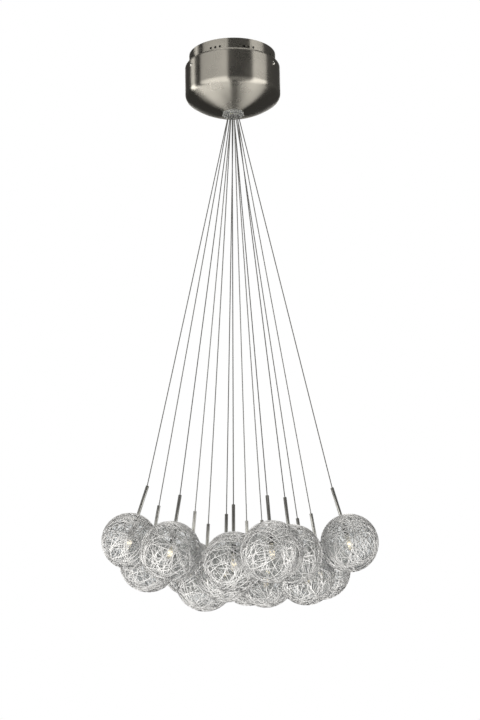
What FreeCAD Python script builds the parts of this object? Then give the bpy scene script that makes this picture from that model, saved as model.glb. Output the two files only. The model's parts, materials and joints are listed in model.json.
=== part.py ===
"""Cluster pendant: a ceiling canopy from which fourteen cords fan out to wire-wrapped glass globes.

Millimetres, +Z up. The origin is the centre of the fixing slots, on the ceiling plane, so
everything hangs below z = 0. The front, as the light is usually seen, is towards -Y.
"""
import FreeCAD, Part
import math
import os

V = FreeCAD.Vector
UP = V(0, 0, 1)

# ---- driving sizes: canopy --------------------------------------------------------------
PAN_R = 86.5            # outside radius of the vented ceiling pan
PAN_WALL = 1.2
PAN_TOP = 1.5           # thickness of the pan's ceiling plate
BAND_H = 23.0           # height of the pan that shows above the cover
PAN_LAP = 26.0          # how far the pan's wall reaches down inside the cover
COVER_STEP = 8.5        # the cover is this much wider than the pan, all round
COVER_WALL = 1.0
COVER_WALL_H = 68.0     # height of the cover from its top edge to the dome
COVER_GAP = 0.5         # between the pan's wall and the cover's top edge
SHOULDER_R = 6.0
DOME_SAG = 35.0         # depth of the cover's domed bottom
CORNER_R = 14.0         # rounding between the cover's wall and its dome

SLOT_SPACING = 120.0    # fixing slots in the pan's ceiling plate
SLOT_LENGTH = 14.0
SLOT_W = 5.2
ENTRY_R = 9.0           # hole for the mains cable
GROMMET_LIP = 3.0
GROMMET_T = 2.0
GROMMET_BORE_R = 5.0

VENT_GROUPS = 8
VENTS_PER_GROUP = 3
VENT_R = 2.4
VENT_PITCH = 6.5        # degrees between the holes of a group
VENT_RISE = 6.0         # height of the holes above the cover's edge

SCREW_AZIMUTHS = (-30.0, 90.0, 210.0)
SCREW_DROP = 16.0       # screws below the cover's top edge
SCREW_R = 2.0
SCREW_HEAD_R = 4.2
SCREW_HEAD_H = 2.6
SCREW_SLOT_W = 1.0
SCREW_SLOT_H = 1.2
SCREW_L = 11.0
BOSS_R = 5.0
BOSS_SHANK_R = 3.4
BOSS_TAIL = 2.0         # how far a boss reaches through the pan's wall

# ---- driving sizes: gear in the canopy --------------------------------------------------
TRANSFORMER = V(104.0, 44.0, 36.0)
TRANSFORMER_Y = 16.0    # near side of the transformer
CASE_EDGE_R = 3.0
EAR_L = 9.0
EAR_ROOT = 4.0          # how far an ear reaches into the case
EAR_T = 2.0
EAR_SCREW_R = 1.7
EAR_HEAD_R = 3.2
EAR_HEAD_H = 2.0
MAINS_BLOCK = V(30.0, 17.0, 15.0)
MAINS_WAYS = 3
MAINS_Y = -34.0
OUTPUT_BLOCK = V(98.0, 15.0, 15.0)
OUTPUT_Y = -56.0
BAR_T = 1.6
BAR_SETBACK = 4.0       # the bus bar's groove from the block's far side
BAR_INSET = 2.0         # the bar ends this far inside the block's ends
WAY_R = 1.7
TERMINAL_SCREW_R = 1.6
TERMINAL_SINK = 1.0     # the mains screws end this far inside the block
EARTH = V(-36.0, -26.0, 0.0)
STUD_L = 16.0
STUD_NUT_R = 3.6
STUD_NUT_H = 3.0
STUD_NUT_STEP = 6.0
TAIL_RISE = 8.0         # a cord tail's first bend above its stop
TAIL_DROP = 22.0        # its last bend below its end in the output block

# ---- driving sizes: cord outlet ---------------------------------------------------------
CORD_R = 1.0
STOP_WALL = 1.2
STOP_H = 8.0
STOP_SPACE = 0.5        # between the stops of neighbouring rings
OUTER_HOLES = 9
INNER_HOLES = 4
OUTER_START = 38.0
INNER_START = 65.0
GUIDE_EDGE = 2.5        # from the outer ring of holes to the ledge that the guide sits on
GUIDE_LEDGE = 1.2
GUIDE_T = 6.0
GUIDE_SEAT = 2.5        # the ledge's height in the flange
SPIGOT_WALL = 3.0
SPIGOT_H = 16.0
FLANGE_LIP = 4.5        # the flange's lip beyond its spigot
FLANGE_DROP = 3.6       # how far the flange hangs below the dome
FLANGE_CHAMFER = 1.0
NUT_LIP = 6.5
NUT_H = 6.0
NUT_NOTCH_R = 2.5
PIVOT_DROP = 0.9        # the free cord starts this far under the guide

# ---- driving sizes: one pendant; heights are from the globe's centre, along the stem ----
STEM_R = 3.1
STEM_TOP = 112.0
SEAT_DEPTH = 8.0        # cord inside the stem
HOLDER_R = 4.6
HOLDER_TOP = 34.0
HOLDER_H = 18.0
COLLAR_DEPTH = 6.0
LAMP_R = 4.7
LAMP_L = 32.0
PIN_R = 0.35
PIN_SPACING = 4.0
PIN_L = 6.5
ARC_SHARE = 0.45        # of a run, used by the arc at each of its ends
GLASS_R = 48.0
GLASS_WALL = 2.0
NECK_R = 8.0
LID_R = 11.0
LID_T = 1.0
RETAINER_R = 9.6
RETAINER_T = 1.5

WIRE_D = 1.6
WIRE_SIDES = 6
LAYER_GAP = 0.5
LAYERS = 4
TURNS = 6               # loops in each layer, 24 in all
POLE_ANGLE = 36.0       # degrees that each layer leaves open round its two poles
CLIMB = 0.12            # part of a turn in which the wire climbs half a layer
CLIMB_SLOPE = 0.75      # the climb's slope at its middle, in layers over that part
SPIN_STEP = 137.5       # each globe's wire is turned by this much from the last one's

# ---- clearances -------------------------------------------------------------------------
RUNNING = 0.08          # a pin or spigot in its hole
LOOSE = 0.25            # a cord in its hole, a fitting beside its seat
STANDOFF = 0.3          # a fitting under the plate that it hangs from
WRAP_FIT = 0.3          # the glass under the first layer of wire

# Globe centres: across, deep and below the datum, as read from the photograph for globes of
# READ_WRAP_R outside. Then the hole in the guide that the cord leaves by, and how much more
# than its cord the stem leans.
DATUM_DROP = 7.5        # the datum lies this far under the flange
READ_WRAP_R = 56.2
MIDDLE_Z = -900.0       # the level that the globes spread from when their size changes
PENDANTS = (
    (-207, -36, -863, "outer", 4, 1.40),
    (-176, 72, -882, "outer", 3, 1.0),
    (-128, -111, -901, "outer", 5, 1.20),
    (-100, 176, -872, "outer", 2, 1.0),
    (-69, 78, -920, "inner", 1, 1.0),
    (-29, -28, -924, "centre", 0, 1.0),
    (-13, -141, -929, "inner", 2, 1.0),
    (14, 193, -890, "outer", 1, 1.0),
    (47, 86, -913, "inner", 0, 1.0),
    (56, -232, -931, "outer", 6, 1.0),
    (94, -108, -910, "outer", 7, 1.0),
    (122, 1, -928, "inner", 3, 1.0),
    (155, 119, -893, "outer", 0, 1.0),
    (202, -63, -880, "outer", 8, 1.25),
)

# ---- places worked out from the sizes ---------------------------------------------------
COVER_R = PAN_R + COVER_STEP
LEDGE_Z = -BAND_H
DOME_EDGE_Z = LEDGE_Z - COVER_WALL_H
DOME_R = (COVER_R ** 2 + DOME_SAG ** 2) / (2 * DOME_SAG)
DOME_LOW_Z = DOME_EDGE_Z - DOME_SAG
DOME_C_Z = DOME_LOW_Z + DOME_R
SCREW_Z = LEDGE_Z - SCREW_DROP
STOP_R = CORD_R + STOP_WALL
INNER_RING_R = 2 * STOP_R + STOP_SPACE
OUTER_RING_R = 2 * INNER_RING_R
GUIDE_R = OUTER_RING_R + GUIDE_EDGE + GUIDE_LEDGE
SPIGOT_R = GUIDE_R + SPIGOT_WALL
FLANGE_R = SPIGOT_R + FLANGE_LIP
NUT_R = SPIGOT_R + NUT_LIP
FLANGE_LOW_Z = DOME_LOW_Z - FLANGE_DROP
GUIDE_LOW_Z = FLANGE_LOW_Z + GUIDE_SEAT
GUIDE_TOP_Z = GUIDE_LOW_Z + GUIDE_T
STOP_TOP_Z = GUIDE_TOP_Z + STOP_H
PIVOT_Z = GUIDE_LOW_Z - PIVOT_DROP
DATUM_Z = FLANGE_LOW_Z - DATUM_DROP
WRAP_R = GLASS_R + WRAP_FIT + WIRE_D + (LAYERS - 1) * (WIRE_D + LAYER_GAP)


# ---- general shapes ---------------------------------------------------------------------
def cylinder(r, low, high, x=0.0, y=0.0):
    return Part.makeCylinder(r, high - low, V(x, y, low))


def tube(outer, inner, low, high, x=0.0, y=0.0):
    return cylinder(outer, low, high, x, y).cut(cylinder(inner, low - 1, high + 1, x, y))


def block(size, centre_x, near_y, top):
    return Part.makeBox(size.x, size.y, size.z, V(centre_x - size.x / 2, near_y, top - size.z))


def line(a, b):
    return Part.makeLine(V(a[0], 0, a[1]), V(b[0], 0, b[1]))


def arc(a, middle, b):
    return Part.Arc(V(a[0], 0, a[1]), V(middle[0], 0, middle[1]), V(b[0], 0, b[1])).toShape()


def revolve(edges):
    return Part.Face(Part.Wire(edges)).revolve(V(0, 0, 0), UP, 360)


def polar(r, degrees, z=0.0):
    a = math.radians(degrees)
    return V(r * math.cos(a), r * math.sin(a), z)


def dome_point(r, offset=0.0):
    return (r, DOME_C_Z - math.sqrt((DOME_R - offset) ** 2 - r ** 2))


def dome_arc(r_a, r_b, offset=0.0):
    """part of the dome's outline; a positive offset is inside the metal"""
    return arc(dome_point(r_a, offset), dome_point((r_a + r_b) / 2, offset), dome_point(r_b, offset))


def save(name, solids):
    shape = Part.makeCompound(solids) if isinstance(solids, list) else solids
    shape.exportStep("parts/" + name + ".step")


# ---- canopy -----------------------------------------------------------------------------
def ceiling_pan():
    """a cup with vent holes in its band, two fixing slots and the cable hole in its plate"""
    pan = cylinder(PAN_R, LEDGE_Z - PAN_LAP, 0)
    pan = pan.cut(cylinder(PAN_R - PAN_WALL, LEDGE_Z - PAN_LAP - 1, -PAN_TOP))
    cuts = [cylinder(ENTRY_R, -PAN_TOP - 1, 1)]
    half = (SLOT_LENGTH - SLOT_W) / 2
    for side in (-1, 1):
        x = side * SLOT_SPACING / 2
        cuts.append(cylinder(SLOT_W / 2, -PAN_TOP - 1, 1, x - half))
        cuts.append(cylinder(SLOT_W / 2, -PAN_TOP - 1, 1, x + half))
        cuts.append(Part.makeBox(2 * half, SLOT_W, PAN_TOP + 2, V(x - half, -SLOT_W / 2, -PAN_TOP - 1)))
    for group in range(VENT_GROUPS):
        for hole in range(VENTS_PER_GROUP):
            angle = 360.0 / VENT_GROUPS * (group + 0.5) + (hole - (VENTS_PER_GROUP - 1) / 2) * VENT_PITCH
            start = polar(PAN_R - 3 * PAN_WALL, angle, LEDGE_Z + VENT_RISE)
            cuts.append(Part.makeCylinder(VENT_R, 5 * PAN_WALL, start, polar(1, angle)))
    for angle in SCREW_AZIMUTHS:
        start = polar(PAN_R - 3 * PAN_WALL, angle, SCREW_Z)
        cuts.append(Part.makeCylinder(BOSS_SHANK_R + RUNNING, 5 * PAN_WALL, start, polar(1, angle)))
    for x, y in ear_screws():
        cuts.append(cylinder(EAR_SCREW_R + RUNNING, -PAN_TOP - 1, 1, x, y))
    cuts.append(cylinder(EAR_SCREW_R + RUNNING, -PAN_TOP - 1, 1, EARTH.x, EARTH.y))
    return pan.cut(Part.makeCompound(cuts))


def cover_outline(offset):
    """the cover's outline from its top edge to its bottom hole, offset into the metal"""
    wall_r = COVER_R - offset
    top = LEDGE_Z - offset
    s_r = SHOULDER_R - offset
    s_c = (COVER_R - SHOULDER_R, LEDGE_Z - SHOULDER_R)
    s_mid = (s_c[0] + s_r * math.sqrt(0.5), s_c[1] + s_r * math.sqrt(0.5))
    corner = CORNER_R - offset
    c_r = COVER_R - CORNER_R
    c_z = DOME_C_Z - math.sqrt((DOME_R - CORNER_R) ** 2 - c_r ** 2)
    turn = math.atan2(c_z - DOME_C_Z, c_r)
    join_r = c_r + corner * math.cos(turn)
    c_mid = (c_r + corner * math.cos(turn / 2), c_z + corner * math.sin(turn / 2))
    hole = SPIGOT_R + LOOSE
    return [
        line((PAN_R + COVER_GAP, top), (s_c[0], top)),
        arc((s_c[0], top), s_mid, (wall_r, s_c[1])),
        line((wall_r, s_c[1]), (wall_r, c_z)),
        arc((wall_r, c_z), c_mid, dome_point(join_r, offset)),
        dome_arc(join_r, hole, offset),
    ]


def canopy_cover():
    """a spun cup: lip turned in to the pan, straight wall, rounded corner and dome"""
    hole = SPIGOT_R + LOOSE
    lip_r = PAN_R + COVER_GAP
    ends = [line(dome_point(hole), dome_point(hole, COVER_WALL))]
    ends_top = [line((lip_r, LEDGE_Z - COVER_WALL), (lip_r, LEDGE_Z))]
    inside = cover_outline(COVER_WALL)[::-1]
    cover = revolve(cover_outline(0.0) + ends + inside + ends_top)
    for angle in SCREW_AZIMUTHS:
        start = polar(COVER_R - 3 * COVER_WALL, angle, SCREW_Z)
        cover = cover.cut(Part.makeCylinder(SCREW_R + LOOSE, 6 * COVER_WALL, start, polar(1, angle)))
    return cover


def along_x(solid, azimuth, r, z):
    """puts a solid made along +Z so that it points outwards at an azimuth, starting at radius r"""
    placed = solid.copy()
    placed.rotate(V(0, 0, 0), V(0, 1, 0), 90)
    placed.rotate(V(0, 0, 0), UP, azimuth)
    placed.translate(polar(r, azimuth, z))
    return placed


def threaded_bosses():
    """spacers riveted through the pan's wall, which the cover's screws turn into"""
    reach = COVER_STEP - COVER_WALL - LOOSE
    flat = math.sqrt((COVER_R - COVER_WALL - LOOSE) ** 2 - BOSS_R ** 2) - PAN_R
    body = cylinder(BOSS_R, LOOSE, min(reach, flat))
    boss = body.fuse(cylinder(BOSS_SHANK_R, -PAN_WALL - BOSS_TAIL, LOOSE))
    boss = boss.cut(cylinder(SCREW_R + RUNNING, -2 * SCREW_L, 2 * SCREW_L))
    return [along_x(boss, angle, PAN_R, SCREW_Z) for angle in SCREW_AZIMUTHS]


def cover_screws():
    """round-head screws; the head stands just clear of the curved wall"""
    base = LOOSE
    dome_r = (SCREW_HEAD_R ** 2 + SCREW_HEAD_H ** 2) / (2 * SCREW_HEAD_H)
    head = Part.makeSphere(dome_r, V(0, 0, base + SCREW_HEAD_H - dome_r))
    head = head.common(cylinder(SCREW_HEAD_R, base, base + SCREW_HEAD_H))
    corner = V(-1.5 * SCREW_HEAD_R, -SCREW_SLOT_W / 2, base + SCREW_HEAD_H - SCREW_SLOT_H)
    slot = Part.makeBox(3 * SCREW_HEAD_R, SCREW_SLOT_W, SCREW_SLOT_H, corner)
    shank = cylinder(SCREW_R, base - SCREW_L, base + SCREW_HEAD_H - SCREW_SLOT_H)
    screw = head.fuse(shank).cut(slot)
    return [along_x(screw.removeSplitter(), angle, COVER_R, SCREW_Z) for angle in SCREW_AZIMUTHS]


def grommet():
    """a rubber ring that grips the edge of the cable hole"""
    low = -PAN_TOP - GROMMET_T
    ring = cylinder(ENTRY_R + GROMMET_LIP, low, -PAN_TOP - RUNNING)
    ring = ring.fuse(cylinder(ENTRY_R - RUNNING, -PAN_TOP - GROMMET_T, 0))
    return ring.cut(cylinder(GROMMET_BORE_R, low - 1, 1)).removeSplitter()


# ---- gear in the canopy -----------------------------------------------------------------
def ear_screws():
    """places of the transformer's two fixing screws"""
    x = TRANSFORMER.x / 2 + EAR_L / 2
    y = TRANSFORMER_Y + EAR_L
    return [(-x, y), (x, y)]


def transformer():
    """a low-voltage transformer case with a fixing ear at each end"""
    top = -PAN_TOP - STANDOFF
    case = block(TRANSFORMER, 0, TRANSFORMER_Y, top)
    case = case.makeFillet(CASE_EDGE_R, case.Edges)
    for x, y in ear_screws():
        inward = math.copysign(EAR_ROOT, x)
        ear = block(V(EAR_L + 2 * EAR_ROOT, 2 * EAR_L, EAR_T), x - inward, y - EAR_L, top)
        case = case.fuse(ear)
    for x, y in ear_screws():
        case = case.cut(cylinder(EAR_SCREW_R + RUNNING, top - EAR_T - 1, top + 1, x, y))
    return case.removeSplitter()


def ear_screw_set():
    low = -PAN_TOP - STANDOFF - EAR_T - RUNNING
    screws = []
    for x, y in ear_screws():
        head = cylinder(EAR_HEAD_R, low - EAR_HEAD_H, low, x, y)
        shank = cylinder(EAR_SCREW_R, low - EAR_HEAD_H, -RUNNING, x, y)
        screws.append(head.fuse(shank).removeSplitter())
    return screws


def way_places(size, ways):
    """x of each way of a terminal block, spread evenly over its length"""
    pitch = size.x / ways
    return [-size.x / 2 + pitch * (i + 0.5) for i in range(ways)]


def mains_block():
    """three-way block: a barrel hole through each way and a screw hole under it"""
    top = -PAN_TOP - STANDOFF
    body = block(MAINS_BLOCK, 0, MAINS_Y, top)
    for x in way_places(MAINS_BLOCK, MAINS_WAYS):
        middle = V(x, MAINS_Y - 1, top - MAINS_BLOCK.z / 2)
        body = body.cut(Part.makeCylinder(WAY_R, MAINS_BLOCK.y + 2, middle, V(0, 1, 0)))
        low = top - MAINS_BLOCK.z - 1
        body = body.cut(cylinder(TERMINAL_SCREW_R + RUNNING, low, top - MAINS_BLOCK.z / 2, x, screw_y()))
    return body


def screw_y():
    return MAINS_Y + MAINS_BLOCK.y / 2


def mains_screws():
    top = -PAN_TOP - STANDOFF
    low = top - MAINS_BLOCK.z + TERMINAL_SINK
    screws = []
    for x in way_places(MAINS_BLOCK, MAINS_WAYS):
        screws.append(cylinder(TERMINAL_SCREW_R, low, top - MAINS_BLOCK.z / 2 - WAY_R, x, screw_y()))
    return screws


def output_block():
    """an insulating block with a groove for the bus bar and a hole under it for each tail"""
    top = -PAN_TOP - STANDOFF
    body = block(OUTPUT_BLOCK, 0, OUTPUT_Y, top)
    corner = V(-OUTPUT_BLOCK.x / 2 - 1, OUTPUT_Y + OUTPUT_BLOCK.y - BAR_SETBACK, top - OUTPUT_BLOCK.z / 2)
    body = body.cut(Part.makeBox(OUTPUT_BLOCK.x + 2, BAR_T + 2 * RUNNING, OUTPUT_BLOCK.z / 2, corner))
    for x in way_places(OUTPUT_BLOCK, len(PENDANTS)):
        low = top - OUTPUT_BLOCK.z
        body = body.cut(cylinder(CORD_R + LOOSE, low - 1, low + OUTPUT_BLOCK.z / 2, x, tail_y()))
    return body


def tail_y():
    return OUTPUT_Y + OUTPUT_BLOCK.y / 3


def bus_bar():
    top = -PAN_TOP - STANDOFF
    y = OUTPUT_Y + OUTPUT_BLOCK.y - BAR_SETBACK + RUNNING
    height = OUTPUT_BLOCK.z / 2 - 2 * STANDOFF
    corner = V(BAR_INSET - OUTPUT_BLOCK.x / 2, y, top - STANDOFF - height)
    return Part.makeBox(OUTPUT_BLOCK.x - 2 * BAR_INSET, BAR_T, height, corner)


def earth_stud():
    """a stud through the pan's plate with two nuts under it"""
    stud = cylinder(EAR_SCREW_R, -STUD_L, -RUNNING, EARTH.x, EARTH.y)
    for low in (-PAN_TOP - RUNNING - STUD_NUT_H, -PAN_TOP - STUD_NUT_STEP - STUD_NUT_H):
        nut = Part.makePolygon([polar(STUD_NUT_R, 60 * i, low) + EARTH for i in range(7)])
        stud = stud.fuse(Part.Face(nut).extrude(V(0, 0, STUD_NUT_H)))
    return stud.removeSplitter()


# ---- cord outlet ------------------------------------------------------------------------
def flange():
    """a clear ring with a spigot through the dome and a ledge for the cord guide"""
    under = -RUNNING
    rim = dome_point(FLANGE_R, under)
    root = dome_point(SPIGOT_R, under)
    top = DOME_LOW_Z + SPIGOT_H
    bore = GUIDE_R + RUNNING
    ledge_r = GUIDE_R - GUIDE_LEDGE
    chamfer = FLANGE_CHAMFER
    edges = [
        line((ledge_r, FLANGE_LOW_Z), (FLANGE_R - chamfer, FLANGE_LOW_Z)),
        line((FLANGE_R - chamfer, FLANGE_LOW_Z), (FLANGE_R, FLANGE_LOW_Z + chamfer)),
        line((FLANGE_R, FLANGE_LOW_Z + chamfer), rim),
        dome_arc(FLANGE_R, SPIGOT_R, under),
        line(root, (SPIGOT_R, top)),
        line((SPIGOT_R, top), (bore, top)),
        line((bore, top), (bore, GUIDE_LOW_Z)),
        line((bore, GUIDE_LOW_Z), (ledge_r, GUIDE_LOW_Z)),
        line((ledge_r, GUIDE_LOW_Z), (ledge_r, FLANGE_LOW_Z)),
    ]
    return revolve(edges)


def flange_nut():
    """a ring nut on the spigot, inside the dome"""
    inner = dome_point(SPIGOT_R, COVER_WALL)[1]
    low = max(inner, dome_point(NUT_R, COVER_WALL)[1]) + RUNNING
    nut = tube(NUT_R, SPIGOT_R + RUNNING, low, low + NUT_H)
    notches = [cylinder(NUT_NOTCH_R, low - 1, low + NUT_H + 1, p.x, p.y)
               for p in (polar(NUT_R, 60 * i) for i in range(6))]
    return nut.cut(Part.makeCompound(notches))


def hole_place(ring, number):
    """where a cord passes the guide"""
    if ring == "outer":
        return polar(OUTER_RING_R, OUTER_START + 360.0 / OUTER_HOLES * number)
    if ring == "inner":
        return polar(INNER_RING_R, INNER_START + 360.0 / INNER_HOLES * number)
    return V(0, 0, 0)


def guide_holes():
    return [hole_place(ring, number) for _, _, _, ring, number, _ in PENDANTS]


def cord_guide():
    guide = cylinder(GUIDE_R, GUIDE_LOW_Z + RUNNING, GUIDE_TOP_Z)
    cuts = [cylinder(CORD_R + LOOSE, GUIDE_LOW_Z - 1, GUIDE_TOP_Z + 1, p.x, p.y)
            for p in guide_holes()]
    return guide.cut(Part.makeCompound(cuts))


def cord_stops():
    """crimped collars that rest on the guide and carry the pendants"""
    low = GUIDE_TOP_Z + RUNNING
    return [tube(STOP_R, CORD_R + RUNNING, low, STOP_TOP_Z, p.x, p.y) for p in guide_holes()]


# ---- cords ------------------------------------------------------------------------------
def cord_path(points, name):
    """straight runs joined by tangent arcs that take up most of the two runs"""
    edges = []
    radii = []
    at = points[0]
    for before, corner, after in zip(points, points[1:], points[2:]):
        a = corner - before
        b = after - corner
        turn = a.getAngle(b)
        reach = ARC_SHARE * min(a.Length, b.Length)
        radius = reach / math.tan(turn / 2)
        a.normalize()
        b.normalize()
        start = corner - a * reach
        end = corner + b * reach
        inward = b - a
        inward.normalize()
        middle = corner + inward * (radius / math.cos(turn / 2) - radius)
        edges.append(Part.LineSegment(at, start).toShape())
        edges.append(Part.Arc(start, middle, end).toShape())
        radii.append(radius)
        at = end
    edges.append(Part.LineSegment(at, points[-1]).toShape())
    wire = Part.Wire(edges)
    print(name, "length %.1f" % wire.Length, "radii", " ".join("%.0f" % r for r in radii))
    return wire


def round_tube(wire, start, direction, r, name):
    """a round tube along a wire; its volume is compared with its section times its length"""
    profile = Part.Wire([Part.Circle(start, direction, r).toShape()])
    shell = Part.BRepOffsetAPI.MakePipeShell(wire)
    shell.add(profile)
    shell.build()
    shell.makeSolid()
    solid = shell.shape()
    ratio = solid.Volume / (math.pi * r ** 2 * wire.Length)
    if abs(ratio - 1) > 0.001:
        print(name, "volume is off by", ratio)
    return solid


def cord_tails():
    """from the guide up to the output block, in the order that keeps them apart"""
    ways = way_places(OUTPUT_BLOCK, len(PENDANTS))
    holes = guide_holes()
    order = sorted(range(len(holes)), key=lambda i: (round(holes[i].x, 3), holes[i].y))
    end_z = -PAN_TOP - STANDOFF - OUTPUT_BLOCK.z + OUTPUT_BLOCK.z / 2 - 1
    tails = []
    for way, i in enumerate(order):
        hole = holes[i]
        low = V(hole.x, hole.y, GUIDE_LOW_Z + LOOSE)
        bend = V(hole.x, hole.y, STOP_TOP_Z + TAIL_RISE)
        high = V(ways[way], tail_y(), end_z - TAIL_DROP)
        end = V(ways[way], tail_y(), end_z)
        name = "tail %02d" % (i + 1)
        tails.append(round_tube(cord_path([low, bend, high, end], name), low, UP, CORD_R, name))
    return tails


# ---- pendants ---------------------------------------------------------------------------
def pendant_places(index):
    """pivot at the guide, top of the stem, globe centre, and the stem's upward direction"""
    x, y, z, ring, number, lean = PENDANTS[index]
    hole = hole_place(ring, number)
    pivot = V(hole.x, hole.y, PIVOT_Z)
    spread = WRAP_R / READ_WRAP_R
    globe = V(x * spread, y * spread, DATUM_Z + MIDDLE_Z + (z - MIDDLE_Z) * spread)
    up = pivot - globe
    up = V(up.x * lean, up.y * lean, up.z)
    up.normalize()
    return pivot, globe + up * STEM_TOP, globe, up


def on_stem(shape, globe, up, spin=0.0):
    """puts a shape made about the origin, +Z up, on a globe's centre and along its stem"""
    placed = shape.copy()
    placed.rotate(V(0, 0, 0), UP, spin)
    placed.Placement = FreeCAD.Placement(globe, FreeCAD.Rotation(UP, up)).multiply(placed.Placement)
    return placed


def free_cord(index):
    pivot, stem_top, globe, up = pendant_places(index)
    name = "cord_%02d" % (index + 1)
    first = stem_top - pivot
    end = stem_top - up * SEAT_DEPTH
    if first.getAngle(end - stem_top) < 0.001:
        wire = Part.Wire([Part.LineSegment(pivot, end).toShape()])
        print(name, "length %.1f" % wire.Length, "straight")
    else:
        wire = cord_path([pivot, stem_top, end], name)
    return round_tube(wire, pivot, first, CORD_R, name)


def lamp_stem():
    """stem tube, globe lid, retainer ring, lamp holder and capsule lamp, as separate solids"""
    stem = tube(STEM_R, CORD_R + LOOSE, HOLDER_TOP - COLLAR_DEPTH, STEM_TOP)
    inner_r = GLASS_R - GLASS_WALL
    lid_low = math.sqrt(GLASS_R ** 2 - NECK_R ** 2) + RUNNING
    lid = tube(LID_R, STEM_R + RUNNING, lid_low, lid_low + LID_T)
    retainer_top = math.sqrt(inner_r ** 2 - RETAINER_R ** 2) - RUNNING
    retainer = tube(RETAINER_R, STEM_R + RUNNING, retainer_top - RETAINER_T, retainer_top)
    holder_low = HOLDER_TOP - HOLDER_H
    holder = cylinder(HOLDER_R, holder_low, HOLDER_TOP)
    holder = holder.cut(cylinder(STEM_R + RUNNING, HOLDER_TOP - COLLAR_DEPTH - RUNNING, HOLDER_TOP + 1))
    lamp_top = holder_low - LOOSE
    lamp_low = lamp_top - LAMP_L
    lamp = cylinder(LAMP_R, lamp_low + LAMP_R, lamp_top)
    lamp = lamp.fuse(Part.makeSphere(LAMP_R, V(0, 0, lamp_low + LAMP_R)))
    for side in (-1, 1):
        x = side * PIN_SPACING / 2
        holder = holder.cut(cylinder(PIN_R + RUNNING, holder_low - 1, holder_low + PIN_L + LOOSE, x))
        lamp = lamp.fuse(cylinder(PIN_R, lamp_top - 1, holder_low + PIN_L, x))
    return [stem, lid, retainer, holder, lamp.removeSplitter()]


def glass_globe():
    """a blown glass sphere with a neck hole for the stem"""
    ball = Part.makeSphere(GLASS_R).cut(Part.makeSphere(GLASS_R - GLASS_WALL))
    return ball.cut(cylinder(NECK_R, 0, 2 * GLASS_R))


# ---- wire winding -----------------------------------------------------------------------
def axes_about(axis, toward):
    x = toward - axis * toward.dot(axis)
    x.normalize()
    return x, axis.cross(x), axis


def spiral_direction(axes, turn):
    """direction from the globe's centre after a number of turns about a layer's axis"""
    x, y, z = axes
    cap = math.radians(POLE_ANGLE)
    down = cap + (math.pi - 2 * cap) * turn / TURNS
    round_by = 2 * math.pi * turn
    return (x * math.cos(round_by) + y * math.sin(round_by)) * math.sin(down) + z * math.cos(down)


def winding_stations():
    """points and travel directions of the wire, each half turn of every layer and each climb

    A layer spirals from one pole of its axis to the other. The next layer's first loop
    touches the last loop from outside, so the wire runs straight on from one to the next.
    """
    step = WIRE_D + LAYER_GAP
    first_r = GLASS_R + WRAP_FIT + WIRE_D / 2
    cap = math.radians(POLE_ANGLE)
    nudge = 1e-4
    axes = axes_about(UP, V(1, 0, 0))
    stations = []
    for layer in range(LAYERS):
        r = first_r + layer * step
        last = layer == LAYERS - 1
        turns = [0.0] if layer == 0 else [CLIMB]
        turns += [0.5 * i for i in range(1, 2 * TURNS)]
        turns += [TURNS] if last else [TURNS - CLIMB, TURNS]
        for turn in turns:
            lift = step / 2 if turn == TURNS and not last else 0.0
            here = spiral_direction(axes, turn)
            ahead = spiral_direction(axes, min(turn + nudge, TURNS))
            behind = spiral_direction(axes, max(turn - nudge, 0))
            travel = ahead - behind
            travel.normalize()
            if lift:
                loop = 2 * math.pi * r * math.sin(cap)
                travel = travel + here * (CLIMB_SLOPE * step / (CLIMB * loop))
                travel.normalize()
            stations.append((here * (r + lift), travel))
        end = spiral_direction(axes, TURNS)
        pole = axes[2] * -1
        side = end - pole * end.dot(pole)
        side.normalize()
        axes = axes_about(pole * math.cos(2 * cap) + side * math.sin(2 * cap), end)
    return stations


def tangent_arc(start, travel, end):
    """the arc that leaves start along travel and reaches end, and its radius"""
    chord = end - start
    normal = travel.cross(chord)
    normal.normalize()
    inward = normal.cross(travel)
    r = chord.dot(chord) / (2 * chord.dot(inward))
    centre = start + inward * r
    out = start + chord * 0.5 - centre
    out.normalize()
    return Part.Arc(start, centre + out * r, end).toShape(), r


def biarc(start, travel, end, travel_end):
    """two arcs that leave start along travel and reach end along travel_end"""
    v = end - start
    t = travel + travel_end
    a = 2 * (1 - travel.dot(travel_end))
    b = 2 * v.dot(t)
    reach = (-b + math.sqrt(b * b + 4 * a * v.dot(v))) / (2 * a)
    near = start + travel * reach
    far = end - travel_end * reach
    along = far - near
    along.normalize()
    first = tangent_arc(start, travel, (near + far) * 0.5)
    second = tangent_arc((near + far) * 0.5, along, end)
    return [first, second]


def sampled(wire_edges, pitch):
    """points along the wire, each with its distance from the wire's start"""
    points = []
    run = 0.0
    for edge in wire_edges:
        parts = max(2, int(edge.Length / pitch))
        inside = edge.discretize(parts + 1)
        if points and (inside[0] - points[-1][0]).Length > (inside[-1] - points[-1][0]).Length:
            inside.reverse()
        for point in inside[1:] if points else inside:
            if points:
                run += (point - points[-1][0]).Length
            points.append((point, run))
    return points


def least_gap(points, near_along):
    """the least distance between two points of the wire that aren't close along it"""
    cell = 2 * WIRE_D + 2 * LAYER_GAP
    cells = {}
    least = 10 * cell
    for point, run in points:
        key = (int(point.x // cell), int(point.y // cell), int(point.z // cell))
        for dx in (-1, 0, 1):
            for dy in (-1, 0, 1):
                for dz in (-1, 0, 1):
                    for other, other_run in cells.get((key[0] + dx, key[1] + dy, key[2] + dz), ()):
                        if run - other_run > near_along:
                            least = min(least, (point - other).Length)
        cells.setdefault(key, []).append((point, run))
    return least - WIRE_D


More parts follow.
